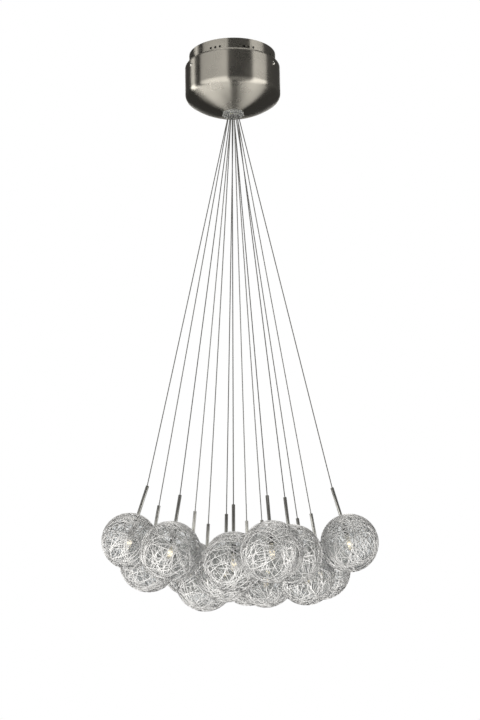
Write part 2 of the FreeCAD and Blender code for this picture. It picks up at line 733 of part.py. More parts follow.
def open_direction(points):
    """the direction near the first layer's pole that lies furthest from every wire"""
    best = (0.0, UP)
    reach = POLE_ANGLE / 2
    for ring in range(1, 10):
        for step in range(24):
            tilt = math.radians(reach * ring / 9)
            round_by = math.radians(15 * step)
            way = V(math.sin(tilt) * math.cos(round_by), math.sin(tilt) * math.sin(round_by), math.cos(tilt))
            gap = min((p - way * p.dot(way)).Length for p, _ in points if p.dot(way) > 0)
            if gap > best[0]:
                best = (gap, way)
    print("winding is open by", round(best[0] - WIRE_D / 2, 2), "round the stem")
    return best[1]


def wire_winding():
    """the wrap: one unbroken wire in four spiral layers, turned so that the stem has room"""
    stations = winding_stations()
    arcs = []
    for (start, travel), (end, travel_end) in zip(stations, stations[1:]):
        arcs += biarc(start, travel, end, travel_end)
    edges = [edge for edge, _ in arcs]
    points = sampled(edges, 1.0)
    print("winding length %.0f" % points[-1][1], "tightest radius %.1f" % min(abs(r) for _, r in arcs))
    print("winding least gap to itself %.2f" % least_gap(points, 8 * WIRE_D))
    start, travel = stations[0]
    side = axes_about(travel, start)
    corners = []
    for i in range(WIRE_SIDES + 1):
        a = 2 * math.pi * i / WIRE_SIDES
        corners.append(start + (side[0] * math.cos(a) + side[1] * math.sin(a)) * (WIRE_D / 2))
    shell = Part.BRepOffsetAPI.MakePipeShell(Part.Wire(edges))
    shell.add(Part.makePolygon(corners))
    shell.build()
    shell.makeSolid()
    winding = shell.shape()
    section = 0.5 * WIRE_SIDES * (WIRE_D / 2) ** 2 * math.sin(2 * math.pi / WIRE_SIDES)
    print("winding volume over section times length %.4f" % (winding.Volume / (section * points[-1][1])))
    winding.Placement = FreeCAD.Placement(V(0, 0, 0), FreeCAD.Rotation(open_direction(points[::3]), UP))
    return winding


# ---- building ---------------------------------------------------------------------------
def build():
    os.makedirs("parts", exist_ok=True)
    save("ceiling_pan", ceiling_pan())
    save("canopy_cover", canopy_cover())
    save("threaded_bosses", threaded_bosses())
    save("cover_screws", cover_screws())
    save("cable_grommet", grommet())
    save("transformer", transformer())
    save("transformer_screws", ear_screw_set())
    save("mains_terminal_block", mains_block())
    save("mains_terminal_screws", mains_screws())
    save("output_block", output_block())
    save("output_bus_bar", bus_bar())
    save("earth_stud", earth_stud())
    save("outlet_flange", flange())
    save("flange_nut", flange_nut())
    save("cord_guide", cord_guide())
    save("cord_stops", cord_stops())
    save("cord_tails", cord_tails())
    stem = lamp_stem()
    glass = glass_globe()
    winding = wire_winding()
    for index in range(len(PENDANTS)):
        _, _, globe, up = pendant_places(index)
        label = "_%02d" % (index + 1)
        save("cord" + label, free_cord(index))
        save("lamp_stem" + label, [on_stem(solid, globe, up) for solid in stem])
        wire = winding.copy()
        wire.rotate(V(0, 0, 0), UP, SPIN_STEP * index)
        save("globe" + label, [on_stem(glass, globe, up), on_stem(wire, globe, up)])


build()
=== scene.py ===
"""Cluster pendant: fourteen wire-wrapped glass globes that fan out on cords from a nickel canopy.

Metres, Z up, the origin at the middle of the fixing slots on the ceiling. The front is towards -Y.
"""
import itertools
import json
import math
import random

import bmesh
import bpy
from mathutils import Matrix, Vector

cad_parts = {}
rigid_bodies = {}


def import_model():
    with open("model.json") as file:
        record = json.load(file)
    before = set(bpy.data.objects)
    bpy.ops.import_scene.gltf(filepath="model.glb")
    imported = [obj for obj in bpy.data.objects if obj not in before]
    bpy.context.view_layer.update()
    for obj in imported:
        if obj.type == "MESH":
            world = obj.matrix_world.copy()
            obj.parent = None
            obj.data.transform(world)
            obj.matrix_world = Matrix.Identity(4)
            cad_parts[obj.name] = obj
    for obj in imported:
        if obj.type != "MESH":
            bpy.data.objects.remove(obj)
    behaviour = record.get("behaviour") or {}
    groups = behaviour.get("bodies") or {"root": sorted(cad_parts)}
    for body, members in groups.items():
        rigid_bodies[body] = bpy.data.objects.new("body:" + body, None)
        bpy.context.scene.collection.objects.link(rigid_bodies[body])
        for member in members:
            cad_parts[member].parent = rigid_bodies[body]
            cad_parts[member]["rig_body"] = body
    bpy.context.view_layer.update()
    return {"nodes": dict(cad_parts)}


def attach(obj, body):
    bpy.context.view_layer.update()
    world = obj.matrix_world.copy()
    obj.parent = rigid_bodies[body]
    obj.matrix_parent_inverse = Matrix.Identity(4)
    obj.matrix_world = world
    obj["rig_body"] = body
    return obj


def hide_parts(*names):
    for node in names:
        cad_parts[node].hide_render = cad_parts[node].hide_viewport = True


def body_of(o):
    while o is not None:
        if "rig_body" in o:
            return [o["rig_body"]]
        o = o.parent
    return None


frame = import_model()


# ---- ceiling pan and canopy cover ---------------------------------------------------------
# Two cups spun from sheet steel, nickel plated and satin brushed as they turn, so the fine
# lines run round the axis. The narrow vented pan screws to the ceiling; the wide cover slips
# over it and hides the transformer.
SATIN_NICKEL = (0.43, 0.412, 0.375, 1)
NICKEL_ROUGHNESS = 0.28
CLOUD_SPREAD = 0.03         # how far the gloss wanders either way
CLOUD_SCALE = 30.0
BRUSH_PITCH = 0.00018       # width of one brushed line
LINES_ROUND = 6             # breaks in the lines, per radian
BRUSH_DEPTH = 0.05          # strength of the brushed lines
FINE_RELIEF = 0.0002        # height of brushed lines and moulded grain


def new_material(name):
    """a node material, with its nodes, links and shader"""
    material = bpy.data.materials.new(name)
    material.use_nodes = True
    nodes = material.node_tree.nodes
    return material, nodes, material.node_tree.links, nodes["Principled BSDF"]


def noise_of(nodes, links, vector, scale, detail=2.0):
    """an even noise of about 0.3 to 0.7"""
    noise = nodes.new("ShaderNodeTexNoise")
    noise.inputs["Scale"].default_value = scale
    noise.inputs["Detail"].default_value = detail
    links.new(vector, noise.inputs["Vector"])
    return noise.outputs["Fac"]


def spread_between(nodes, links, value, low, high):
    """spreads a noise between two values"""
    spread = nodes.new("ShaderNodeMapRange")
    spread.inputs["From Min"].default_value = 0.3
    spread.inputs["From Max"].default_value = 0.7
    spread.inputs["To Min"].default_value = low
    spread.inputs["To Max"].default_value = high
    links.new(value, spread.inputs["Value"])
    return spread.outputs["Result"]


def add_bump(nodes, links, shader, height, strength, distance):
    """relief in the shading from a pattern"""
    bump = nodes.new("ShaderNodeBump")
    bump.inputs["Strength"].default_value = strength
    bump.inputs["Distance"].default_value = distance
    links.new(height, bump.inputs["Height"])
    links.new(bump.outputs["Normal"], shader.inputs["Normal"])


def turned_coordinates(nodes, links):
    """(radius, angle, height) of the surface about the light's upright axis"""
    place = nodes.new("ShaderNodeTexCoord")
    parts = nodes.new("ShaderNodeSeparateXYZ")
    links.new(place.outputs["Object"], parts.inputs[0])
    angle = nodes.new("ShaderNodeMath")
    angle.operation = "ARCTAN2"
    links.new(parts.outputs["Y"], angle.inputs[0])
    links.new(parts.outputs["X"], angle.inputs[1])
    flat = nodes.new("ShaderNodeCombineXYZ")
    links.new(parts.outputs["X"], flat.inputs["X"])
    links.new(parts.outputs["Y"], flat.inputs["Y"])
    radius = nodes.new("ShaderNodeVectorMath")
    radius.operation = "LENGTH"
    links.new(flat.outputs[0], radius.inputs[0])
    turned = nodes.new("ShaderNodeCombineXYZ")
    links.new(radius.outputs["Value"], turned.inputs["X"])
    links.new(angle.outputs[0], turned.inputs["Y"])
    links.new(parts.outputs["Z"], turned.inputs["Z"])
    return turned.outputs[0], place.outputs["Object"]


def spun_nickel(name):
    """satin nickel with brushed lines round the axis and a slow cloudiness in its gloss"""
    material, nodes, links, shader = new_material(name)
    turned, place = turned_coordinates(nodes, links)
    lines = nodes.new("ShaderNodeMapping")
    lines.inputs["Scale"].default_value = (1 / BRUSH_PITCH, LINES_ROUND, 1 / BRUSH_PITCH)
    links.new(turned, lines.inputs["Vector"])
    brushed = noise_of(nodes, links, lines.outputs["Vector"], 1.0)
    cloud = noise_of(nodes, links, place, CLOUD_SCALE)
    gloss = spread_between(nodes, links, cloud, NICKEL_ROUGHNESS - CLOUD_SPREAD,
                           NICKEL_ROUGHNESS + CLOUD_SPREAD)
    shader.inputs["Base Color"].default_value = SATIN_NICKEL
    shader.inputs["Metallic"].default_value = 1.0
    shader.inputs["Anisotropic"].default_value = 1.0
    shader.inputs["Anisotropic Rotation"].default_value = 0.25
    links.new(gloss, shader.inputs["Roughness"])
    add_bump(nodes, links, shader, brushed, BRUSH_DEPTH, FINE_RELIEF)
    tangent = nodes.new("ShaderNodeTangent")
    tangent.direction_type = "RADIAL"
    tangent.axis = "Z"
    links.new(tangent.outputs[0], shader.inputs["Tangent"])
    return material


def refinish(node, material):
    """gives a carried-over CAD node its material"""
    slots = frame["nodes"][node].data.materials
    slots.clear()
    slots.append(material)


canopy_nickel = spun_nickel("satin_nickel_spun")
refinish("ceiling_pan", canopy_nickel)
refinish("canopy_cover", canopy_nickel)


# ---- bosses, screws, nut and cord stops ---------------------------------------------------
# Small turned steel parts with a bright zinc finish: the bosses set in the pan's wall, the
# screws of the transformer, the nut that holds the flange, and the stops crimped on the cords.
TURNING_SCALE = 900.0
TURNING_DEPTH = 0.06


def plain_metal(name, colour, low, high):
    """a small part's metal with fine turning marks in its gloss"""
    material, nodes, links, shader = new_material(name)
    place = nodes.new("ShaderNodeTexCoord")
    marks = noise_of(nodes, links, place.outputs["Object"], TURNING_SCALE)
    shader.inputs["Base Color"].default_value = colour
    shader.inputs["Metallic"].default_value = 1.0
    links.new(spread_between(nodes, links, marks, low, high), shader.inputs["Roughness"])
    add_bump(nodes, links, shader, marks, TURNING_DEPTH, FINE_RELIEF)
    return material


zinc_steel = plain_metal("zinc_steel", (0.62, 0.63, 0.65, 1), 0.25, 0.40)
for node in ("threaded_bosses", "transformer_screws", "flange_nut", "cord_stops"):
    refinish(node, zinc_steel)


# ---- cover screws -------------------------------------------------------------------------
# Three small round-headed screws, nickel plated, go through slots under the cover's top edge
# into the pan's bosses and carry the cover.
refinish("cover_screws", plain_metal("bright_nickel", (0.50, 0.49, 0.46, 1), 0.18, 0.28))


# ---- terminal screws, bus bar and earth stud ----------------------------------------------
# The brass parts that carry current or earth inside the pan are left bare, and are a little
# dull.
brass = plain_metal("brass", (0.72, 0.52, 0.22, 1), 0.22, 0.36)
for node in ("mains_terminal_screws", "output_bus_bar", "earth_stud"):
    refinish(node, brass)


# ---- transformer and terminal blocks ------------------------------------------------------
# The low-voltage transformer is a white moulded box. The two terminal blocks are of a paler,
# slightly waxy plastic.
GRAIN_SCALE = 1200.0
GRAIN_SPREAD = 0.06
GRAIN_DEPTH = 0.08


def moulded(name, colour, roughness, grain_scale=GRAIN_SCALE):
    """moulded plastic with a fine spark-eroded grain"""
    material, nodes, links, shader = new_material(name)
    place = nodes.new("ShaderNodeTexCoord")
    grain = noise_of(nodes, links, place.outputs["Object"], grain_scale)
    gloss = spread_between(nodes, links, grain, roughness - GRAIN_SPREAD, roughness + GRAIN_SPREAD)
    shader.inputs["Base Color"].default_value = colour
    links.new(gloss, shader.inputs["Roughness"])
    add_bump(nodes, links, shader, grain, GRAIN_DEPTH, FINE_RELIEF)
    return material, shader


white_plastic, _ = moulded("white_plastic", (0.80, 0.80, 0.77, 1), 0.42)
refinish("transformer", white_plastic)
block_plastic, block_shader = moulded("block_plastic", (0.70, 0.69, 0.62, 1), 0.35)
block_shader.inputs["Subsurface Weight"].default_value = 0.2
block_shader.inputs["Subsurface Radius"].default_value = (0.002, 0.002, 0.0015)
refinish("mains_terminal_block", block_plastic)
refinish("output_block", block_plastic)


# ---- cable grommet ------------------------------------------------------------------------
# A black rubber bush is pushed into the hole in the pan's ceiling plate, where the supply
# cable comes through.
RUBBER_GRAIN_SCALE = 700.0
black_rubber, _ = moulded("black_rubber", (0.025, 0.025, 0.025, 1), 0.62, RUBBER_GRAIN_SCALE)
refinish("cable_grommet", black_rubber)


# ---- outlet flange and cord guide ---------------------------------------------------------
# A clear moulded flange lines the hole in the dome and catches the light. The nylon guide
# sits on a ledge in it, and its drilled holes spread the cords.
FLUTES = 28                 # faint upright flutes round the flange
FLUTE_DEPTH = 0.0008


def fluted_clear(name):
    """clear polished plastic with faint flutes that catch the light"""
    material, nodes, links, shader = new_material(name)
    turned, _ = turned_coordinates(nodes, links)
    parts = nodes.new("ShaderNodeSeparateXYZ")
    links.new(turned, parts.inputs[0])
    steps = nodes.new("ShaderNodeMath")
    steps.operation = "MULTIPLY"
    steps.inputs[1].default_value = FLUTES
    links.new(parts.outputs["Y"], steps.inputs[0])
    flutes = nodes.new("ShaderNodeMath")
    flutes.operation = "SINE"
    links.new(steps.outputs[0], flutes.inputs[0])
    shader.inputs["Base Color"].default_value = (0.96, 0.97, 0.95, 1)
    shader.inputs["Roughness"].default_value = 0.06
    shader.inputs["IOR"].default_value = 1.58
    shader.inputs["Transmission Weight"].default_value = 0.75
    add_bump(nodes, links, shader, flutes.outputs[0], 1.0, FLUTE_DEPTH)
    return material


refinish("outlet_flange", fluted_clear("clear_plastic"))
nylon, nylon_shader = moulded("nylon", (0.86, 0.86, 0.83, 1), 0.38)
nylon_shader.inputs["Subsurface Weight"].default_value = 0.3
nylon_shader.inputs["Subsurface Radius"].default_value = (0.003, 0.003, 0.0025)
refinish("cord_guide", nylon)


# ---- free cords ---------------------------------------------------------------------------
# Each pendant hangs on a round cord: two conductors of silvery strands twisted together in a
# clear sheath. It leaves the guide under the flange and runs, pulled straight, into its stem.
PENDANTS = (                # globe centre from the datum; ring and number of its hole; stem's lean
    (-0.207, -0.036, -0.863, "outer", 4, 1.40),
    (-0.176, 0.072, -0.882, "outer", 3, 1.0),
    (-0.128, -0.111, -0.901, "outer", 5, 1.20),
    (-0.100, 0.176, -0.872, "outer", 2, 1.0),
    (-0.069, 0.078, -0.920, "inner", 1, 1.0),
    (-0.029, -0.028, -0.924, "centre", 0, 1.0),
    (-0.013, -0.141, -0.929, "inner", 2, 1.0),
    (0.014, 0.193, -0.890, "outer", 1, 1.0),
    (0.047, 0.086, -0.913, "inner", 0, 1.0),
    (0.056, -0.232, -0.931, "outer", 6, 1.0),
    (0.094, -0.108, -0.910, "outer", 7, 1.0),
    (0.122, 0.001, -0.928, "inner", 3, 1.0),
    (0.155, 0.119, -0.893, "outer", 0, 1.0),
    (0.202, -0.063, -0.880, "outer", 8, 1.25),
)
LABELS = [f"{number + 1:02d}" for number in range(len(PENDANTS))]
DATUM_Z = -0.1371           # the datum lies a little under the flange
PIVOT_Z = -0.1280           # where the free cords start, just under the guide
CORD_R = 0.001
STEM_TOP = 0.112            # up the stem from the globe's centre
SEAT_DEPTH = 0.008          # of the cord in the stem
RINGS = {                   # of holes in the guide: radius, first hole's azimuth, and step
    "outer": (0.0098, 38, 40),
    "inner": (0.0049, 65, 90),
    "centre": (0.0, 0, 0),
}
TWIST = math.radians(35)    # of the strands
TWIST_PITCH = 420
STRAND_DEPTH = 0.0003


def hole_place(ring, number):
    """where a cord passes the guide"""
    radius, start, step = RINGS[ring]
    angle = math.radians(start + step * number)
    return Vector((radius * math.cos(angle), radius * math.sin(angle), 0))


def pendant_places(pendant):
    """pivot at the guide, globe centre, and the stem's upward direction"""
    x, y, z, ring, number, lean = pendant
    pivot = hole_place(ring, number) + Vector((0, 0, PIVOT_Z))
    globe = Vector((x, y, z + DATUM_Z))
    up = (pivot - globe) * Vector((lean, lean, 1))
    return pivot, globe, up.normalized()


def body_with(node):
    """the body that a CAD node rides on"""
    return body_of(frame["nodes"][node])[0]


def cord_line(name, points):
    """a round cord as one open spline through its route's points"""
    curve = bpy.data.curves.new(name, "CURVE")
    curve.dimensions = "3D"
    curve.bevel_depth = CORD_R
    curve.bevel_resolution = 3
    curve.resolution_u = 12
    curve.use_fill_caps = True
    spline = curve.splines.new("NURBS")
    spline.points.add(len(points) - 1)
    for control, point in zip(spline.points, points):
        control.co = (*point, 1)
    spline.order_u = 3
    spline.use_endpoint_u = True
    cord = bpy.data.objects.new(name, curve)
    bpy.context.collection.objects.link(cord)
    return cord


def sheathed_strands(name):
    """silvery strands, twisted, seen through a glossy clear sheath"""
    material, nodes, links, shader = new_material(name)
    place = nodes.new("ShaderNodeTexCoord")
    twist = nodes.new("ShaderNodeMapping")
    twist.inputs["Rotation"].default_value = (0, TWIST, 0)
    twist.inputs["Scale"].default_value = (1, 0.4, 1)
    links.new(place.outputs["Object"], twist.inputs["Vector"])
    strands = nodes.new("ShaderNodeTexWave")
    strands.bands_direction = "Z"
    strands.inputs["Scale"].default_value = TWIST_PITCH
    strands.inputs["Distortion"].default_value = 0.6
    links.new(twist.outputs["Vector"], strands.inputs["Vector"])
    colour = nodes.new("ShaderNodeValToRGB")
    colour.color_ramp.elements[0].color = (0.12, 0.12, 0.118, 1)
    colour.color_ramp.elements[1].color = (0.27, 0.27, 0.265, 1)
    links.new(strands.outputs["Fac"], colour.inputs["Fac"])
    links.new(colour.outputs["Color"], shader.inputs["Base Color"])
    shader.inputs["Metallic"].default_value = 0.3
    shader.inputs["Roughness"].default_value = 0.35
    shader.inputs["Coat Weight"].default_value = 1.0
    shader.inputs["Coat Roughness"].default_value = 0.04
    add_bump(nodes, links, shader, strands.outputs["Fac"], 0.15, STRAND_DEPTH)
    return material


clear_cord = sheathed_strands("clear_cord")
for label, pendant in zip(LABELS, PENDANTS):
    pivot, globe, up = pendant_places(pendant)
    stem_top = globe + up * STEM_TOP
    end = stem_top - up * SEAT_DEPTH
    flex = cord_line(f"flex_{label}", [pivot, stem_top, end])
    flex.data.materials.append(clear_cord)
    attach(flex, body_with(f"cord_{label}"))
    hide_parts(f"cord_{label}")


# ---- cord tails in the canopy -------------------------------------------------------------
# Above the guide each cord carries on through its crimped stop and rises in an easy bend to
# its own way in the output block.
GUIDE_LOW_Z = -0.1271
STOP_TOP_Z = -0.1131
TAIL_RISE = 0.008           # of its first bend above its stop
TAIL_DROP = 0.022           # of its last bend below its end
TAIL_END_Z = -0.0103
TAIL_Y = -0.051
WAY_PITCH = 0.007
LOOSE = 0.00025             # the hole is this much wider than the cord, all round

holes = [hole_place(ring, number) for _, _, _, ring, number, _ in PENDANTS]
order = sorted(range(len(holes)), key=lambda i: (round(holes[i].x, 6), holes[i].y))
for way, i in enumerate(order):
    way_x = WAY_PITCH * (way - (len(holes) - 1) / 2)
    low = holes[i] + Vector((0, 0, GUIDE_LOW_Z + LOOSE))
    bend = holes[i] + Vector((0, 0, STOP_TOP_Z + TAIL_RISE))
    high = Vector((way_x, TAIL_Y, TAIL_END_Z - TAIL_DROP))
    end = Vector((way_x, TAIL_Y, TAIL_END_Z))
    tail = cord_line(f"tail_{LABELS[i]}", [low, bend, high, end])
    tail.data.materials.append(clear_cord)
    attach(tail, "root")
    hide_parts("cord_tails")


# ---- stems --------------------------------------------------------------------------------
# A slim turned tube in satin nickel. The cord drops into its top. Near its foot sit the lid on
# the globe's neck and the retainer ring that clamps the glass from inside.
STEM_R = 0.0031
STEM_BORE_R = 0.00125
STEM_LOW = 0.028
LID_R = 0.011
LID_LOW = 0.0474
LID_T = 0.001
RETAINER_R = 0.0096
RETAINER_LOW = 0.0435
RETAINER_T = 0.0015
RING_LOOSE = 0.0001         # between the stem and the rings on it
EASED_EDGE = 0.0003
SHARP = math.radians(35)    # edges that bend further than this stay sharp or are eased
SAME_PLACE = 1e-7
STEM_STEPS = 32
RING_STEPS = 48
STEM_BRUSHING = (400, 400, 6000)


def turn_outline(mesh, outline, steps, closed=True):
    """spins an outline of (radius, height) points about Z"""
    points = [mesh.verts.new((radius, 0, height)) for radius, height in outline]
    pairs = list(zip(points, points[1:]))
    if closed:
        pairs.append((points[-1], points[0]))
    edges = [mesh.edges.new(pair) for pair in pairs]
    bmesh.ops.spin(mesh, geom=points + edges, cent=(0, 0, 0), axis=(0, 0, 1), angle=2 * math.pi,
                   steps=steps, use_merge=True)


def finish_mesh(mesh, name, eased=0.0):
    """closes poles and seams, turns faces outwards, eases sharp edges and marks the rest smooth"""
    bmesh.ops.remove_doubles(mesh, verts=mesh.verts, dist=SAME_PLACE)
    bmesh.ops.dissolve_degenerate(mesh, dist=SAME_PLACE, edges=mesh.edges)
    bmesh.ops.recalc_face_normals(mesh, faces=mesh.faces)
    if eased:
        sharp = [edge for edge in mesh.edges if edge.calc_face_angle(0) > SHARP]
        bmesh.ops.bevel(mesh, geom=sharp, offset=eased, affect="EDGES", segments=2, profile=0.5,
                        material=-1)
    for face in mesh.faces:
        face.smooth = True
    for edge in mesh.edges:
        edge.smooth = edge.calc_face_angle(0) < SHARP
    data = bpy.data.meshes.new(name)
    mesh.to_mesh(data)
    mesh.free()
    return data


def turn_ring(mesh, inner, outer, low, top, steps):
    """a plain tube or flat ring about Z"""
    turn_outline(mesh, [(inner, low), (outer, low), (outer, top), (inner, top)], steps)


def stem_parts():
    """stem, lid and retainer ring in one mesh"""
    mesh = bmesh.new()
    turn_ring(mesh, STEM_BORE_R, STEM_R, STEM_LOW, STEM_TOP, STEM_STEPS)
    for radius, low, thickness in ((LID_R, LID_LOW, LID_T), (RETAINER_R, RETAINER_LOW, RETAINER_T)):
        turn_ring(mesh, STEM_R + RING_LOOSE, radius, low, low + thickness, RING_STEPS)
    return finish_mesh(mesh, "stem", EASED_EDGE)


def on_stem(data, name, globe, up, spin=0.0):
    """puts a copy of a mesh made about the origin on a globe's centre and along its stem"""
    lean = Vector((0, 0, 1)).rotation_difference(up).to_matrix().to_4x4()
    placed = data.copy()
    placed.name = name
    placed.transform(Matrix.Translation(globe) @ lean @ Matrix.Rotation(spin, 4, "Z"))
    piece = bpy.data.objects.new(name, placed)
    bpy.context.collection.objects.link(piece)
    return piece


def stem_nickel(name):
    """satin nickel on a slim tube, its fine lines running round the tube"""
    material, nodes, links, shader = new_material(name)
    place = nodes.new("ShaderNodeTexCoord")
    lines = nodes.new("ShaderNodeMapping")
    lines.inputs["Scale"].default_value = STEM_BRUSHING
    links.new(place.outputs["Object"], lines.inputs["Vector"])
    brushed = noise_of(nodes, links, lines.outputs["Vector"], 1.0)
    shader.inputs["Base Color"].default_value = (0.52, 0.52, 0.50, 1)
    shader.inputs["Metallic"].default_value = 1.0
    links.new(spread_between(nodes, links, brushed, 0.26, 0.36), shader.inputs["Roughness"])
    add_bump(nodes, links, shader, brushed, BRUSH_DEPTH, FINE_RELIEF)
    return material


stem_mesh = stem_parts()
stem_mesh.materials.append(stem_nickel("satin_nickel_stem"))
for label, pendant in zip(LABELS, PENDANTS):
    _, globe, up = pendant_places(pendant)
    stem = on_stem(stem_mesh, f"stem_{label}", globe, up)
    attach(stem, body_with(f"lamp_stem_{label}"))
    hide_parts(f"lamp_stem_{label}")


# ---- lamp holders -------------------------------------------------------------------------
# A two-pin metal holder grips the stem's foot inside the globe. Its near-black colour is painted
# shade, for the shadow that falls on it there. It is turned, with a collar above and a plain
# skirt below, and a groove between them.
HOLDER_R = 0.0046
HOLDER_LOW = 0.016
HOLDER_TOP = 0.034
COLLAR_DEPTH = 0.006
COLLAR_CHAMFER = 0.001
GROOVE_LOW = 0.0242
GROOVE_TOP = 0.0250
GROOVE_DEPTH = 0.0006
GROOVE_SLOPE = 0.0004       # height of each of its slanting sides
PLATING_SCALE = 1500.0


def holder_parts():
    """the closed outline of a holder, turned"""
    mesh = bmesh.new()
    bore = STEM_R + RING_LOOSE
    groove = HOLDER_R - GROOVE_DEPTH
    outline = [
        (0, HOLDER_LOW),
        (HOLDER_R, HOLDER_LOW),
        (HOLDER_R, GROOVE_LOW - GROOVE_SLOPE),
        (groove, GROOVE_LOW),
        (groove, GROOVE_TOP),
        (HOLDER_R, GROOVE_TOP + GROOVE_SLOPE),
        (HOLDER_R, HOLDER_TOP - COLLAR_CHAMFER),
        (HOLDER_R - COLLAR_CHAMFER, HOLDER_TOP),
        (bore, HOLDER_TOP),
        (bore, HOLDER_TOP - COLLAR_DEPTH),
        (0, HOLDER_TOP - COLLAR_DEPTH),
    ]
    turn_outline(mesh, outline, RING_STEPS, closed=False)
    return finish_mesh(mesh, "holder", EASED_EDGE)


def painted_shade_metal(name):
    """metal with a fine grain, its near-black colour painted shade for the shadow inside the globe
    """
    material, nodes, links, shader = new_material(name)
    place = nodes.new("ShaderNodeTexCoord")
    grain = noise_of(nodes, links, place.outputs["Object"], PLATING_SCALE)
    # near-black base colour: painted shade, for the shadow on the holder inside the globe
    shader.inputs["Base Color"].default_value = (0.10, 0.095, 0.09, 1)
    shader.inputs["Metallic"].default_value = 0.9
    links.new(spread_between(nodes, links, grain, 0.3, 0.45), shader.inputs["Roughness"])
    add_bump(nodes, links, shader, grain, 0.05, FINE_RELIEF)
    return material


holder_mesh = holder_parts()
holder_mesh.materials.append(painted_shade_metal("black_nickel"))
for label, pendant in zip(LABELS, PENDANTS):
    _, globe, up = pendant_places(pendant)
    holder = on_stem(holder_mesh, f"holder_{label}", globe, up)
    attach(holder, body_with(f"lamp_stem_{label}"))
    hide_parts(f"lamp_stem_{label}")


# ---- lamps --------------------------------------------------------------------------------
# A small halogen capsule pushed into each holder, lit. Its clear tube glows warm white round
# the filament, a little below the globe's centre.
LAMP_R = 0.0047
LAMP_TOP = 0.01575
LAMP_LOW = -0.01625
LAMP_TOP_SHARE = 0.8        # of its radius left at its top face
LAMP_SHOULDER = 0.001
LAMP_RINGS = 16
LAMP_STEPS = 40
FILAMENT_Z = -0.004
GLOW_REACH = 0.0085         # half the length of the bright part
GLOW_FALL = 1.5             # how fast the glow fades along it
GLOW = 1.2


def lamp_capsule():
    """the closed outline of a lamp, turned, with its glow stored on its points"""
    mesh = bmesh.new()
    shoulder = LAMP_TOP - LAMP_SHOULDER
    centre = LAMP_LOW + LAMP_R
    outline = [(0, LAMP_TOP), (LAMP_R * LAMP_TOP_SHARE, LAMP_TOP)]
    for ring in range(LAMP_RINGS):
        outline.append((LAMP_R, shoulder + (centre - shoulder) * ring / LAMP_RINGS))
    for degrees in range(0, 90, 10):
        a = math.radians(degrees)
        outline.append((LAMP_R * math.cos(a), centre - LAMP_R * math.sin(a)))
    outline.append((0, LAMP_LOW))
    turn_outline(mesh, outline, LAMP_STEPS, closed=False)
    data = finish_mesh(mesh, "lamp")
    glow = data.attributes.new("glow", "FLOAT", "POINT")
    for vertex, value in zip(data.vertices, glow.data):
        distance = abs(vertex.co.z - FILAMENT_Z) / GLOW_REACH
        value.value = max(0.0, 1.0 - distance) ** GLOW_FALL
    return data


def lit_lamp(name):
    """clear lamp glass that shines where the glow is"""
    material, nodes, links, shader = new_material(name)
    glow = nodes.new("ShaderNodeAttribute")
    glow.attribute_name = "glow"
    shader.inputs["Base Color"].default_value = (0.95, 0.94, 0.90, 1)
    shader.inputs["Roughness"].default_value = 0.12
    shader.inputs["Transmission Weight"].default_value = 0.6
    shader.inputs["Emission Color"].default_value = (1.0, 0.86, 0.62, 1)
    strength = nodes.new("ShaderNodeMath")
    strength.operation = "MULTIPLY"
    strength.inputs[1].default_value = GLOW
    links.new(glow.outputs["Fac"], strength.inputs[0])
    links.new(strength.outputs[0], shader.inputs["Emission Strength"])
    return material


lamp_mesh = lamp_capsule()
lamp_mesh.materials.append(lit_lamp("lamp_glass"))
for label, pendant in zip(LABELS, PENDANTS):
    _, globe, up = pendant_places(pendant)
    lamp = on_stem(lamp_mesh, f"lamp_{label}", globe, up)
    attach(lamp, body_with(f"lamp_stem_{label}"))
    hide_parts(f"lamp_stem_{label}")


# ---- glass globes -------------------------------------------------------------------------
# Clear blown glass, 96 mm across and 2 mm thick, with a ground neck hole at the top that the
# stem's lid covers.
GLASS_R = 0.048
GLASS_WALL = 0.002
NECK_R = 0.008
GLASS_STEPS = 44            # down the globe
GLASS_ROUND = 96            # round it
GLASS_RIPPLE = 45.0
RIPPLE_DEPTH = 0.002


def glass_ball(mesh, radius):
    """one face of the glass, open at the neck"""
    neck = math.asin(NECK_R / radius)
    outline = []
    for step in range(GLASS_STEPS + 1):
        a = neck + (math.pi - neck) * step / GLASS_STEPS
        outline.append((radius * math.sin(a) if step < GLASS_STEPS else 0, radius * math.cos(a)))
    turn_outline(mesh, outline, GLASS_ROUND, closed=False)


def glass_shell():
    """the outer and inner face, joined round the neck"""
    mesh = bmesh.new()
    glass_ball(mesh, GLASS_R)
    glass_ball(mesh, GLASS_R - GLASS_WALL)
    bmesh.ops.remove_doubles(mesh, verts=mesh.verts, dist=SAME_PLACE)
    rims = [edge for edge in mesh.edges if edge.is_boundary]
    bmesh.ops.bridge_loops(mesh, edges=rims)
    return finish_mesh(mesh, "glass")


def blown_glass(name):
    """clear glass with a slow ripple"""
    material, nodes, links, shader = new_material(name)
    place = nodes.new("ShaderNodeTexCoord")
    ripple = noise_of(nodes, links, place.outputs["Object"], GLASS_RIPPLE, 1.0)
    shader.inputs["Base Color"].default_value = (0.985, 0.995, 0.99, 1)
    shader.inputs["Roughness"].default_value = 0.0
    shader.inputs["IOR"].default_value = 1.48
    shader.inputs["Transmission Weight"].default_value = 1.0
    add_bump(nodes, links, shader, ripple, 0.08, RIPPLE_DEPTH)
    return material


glass_mesh = glass_shell()
glass_mesh.materials.append(blown_glass("clear_glass"))
for label, pendant in zip(LABELS, PENDANTS):
    _, globe, up = pendant_places(pendant)
    glass = on_stem(glass_mesh, f"glass_{label}", globe, up)
    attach(glass, body_with(f"globe_{label}"))
    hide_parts(f"globe_{label}")


